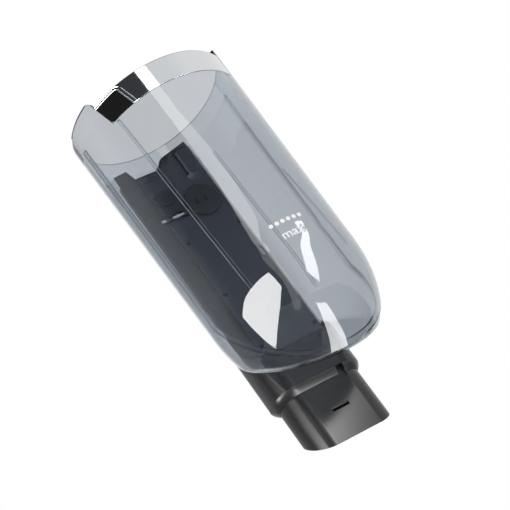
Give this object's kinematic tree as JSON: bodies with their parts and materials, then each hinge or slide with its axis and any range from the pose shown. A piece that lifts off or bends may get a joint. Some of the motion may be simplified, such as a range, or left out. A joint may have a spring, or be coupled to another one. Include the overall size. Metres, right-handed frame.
{
  "type": "cyclone dust bin",
  "caption": "Round-nosed clear smoked dust bin for a stick vacuum cleaner, with a plated rim band, an intake duct up its back, a flap over the outlet and a rounded spigot below.",
  "frame": {"origin": "centre of the bin's mouth, level with the top edge of the trim band", "axes": "+Z out of the mouth along the bin, -Y towards the fill mark, +Y towards the intake duct"},
  "size_m": [0.1152, 0.1185, 0.2585],
  "materials": {
    "smoked_shell": "clear smoked plastic, moulded and polished",
    "chrome_trim": "bright chrome plating on moulded plastic",
    "black_gloss": "smooth black moulded plastic",
    "black_duct": "satin black moulded plastic",
    "black_rubber": "soft black rubber",
    "steel": "bright steel"
  },
  "bodies": {
    "bin": {"front_shell": "smoked_shell", "rear_shell": "smoked_shell", "trim_band": "chrome_trim", "catch_pad": "black_gloss", "duct_body": "black_duct", "duct_cover": "black_duct", "outlet_hood": "black_duct", "service_plug": "black_duct", "neck_gasket": "black_rubber", "spigot_collar": "black_rubber", "flap_seal": "black_rubber", "plug_seal": "black_rubber", "flap_pin": "steel", "flap_spring": "steel", "duct_screws": "steel", "cover_screws": "steel"},
    "flap": {"outlet_flap": "black_duct"}
  },
  "joints": [
    {"name": "flap_hinge", "type": "hinge", "parent": "bin", "child": "flap", "pos_m": [-0.0151, 0.0281, -0.0628], "axis": [1, 0, 0], "range_deg": [0, 70], "stiffness_Nm_per_rad": 0.0002, "springref_deg": -17.19}
  ]
}
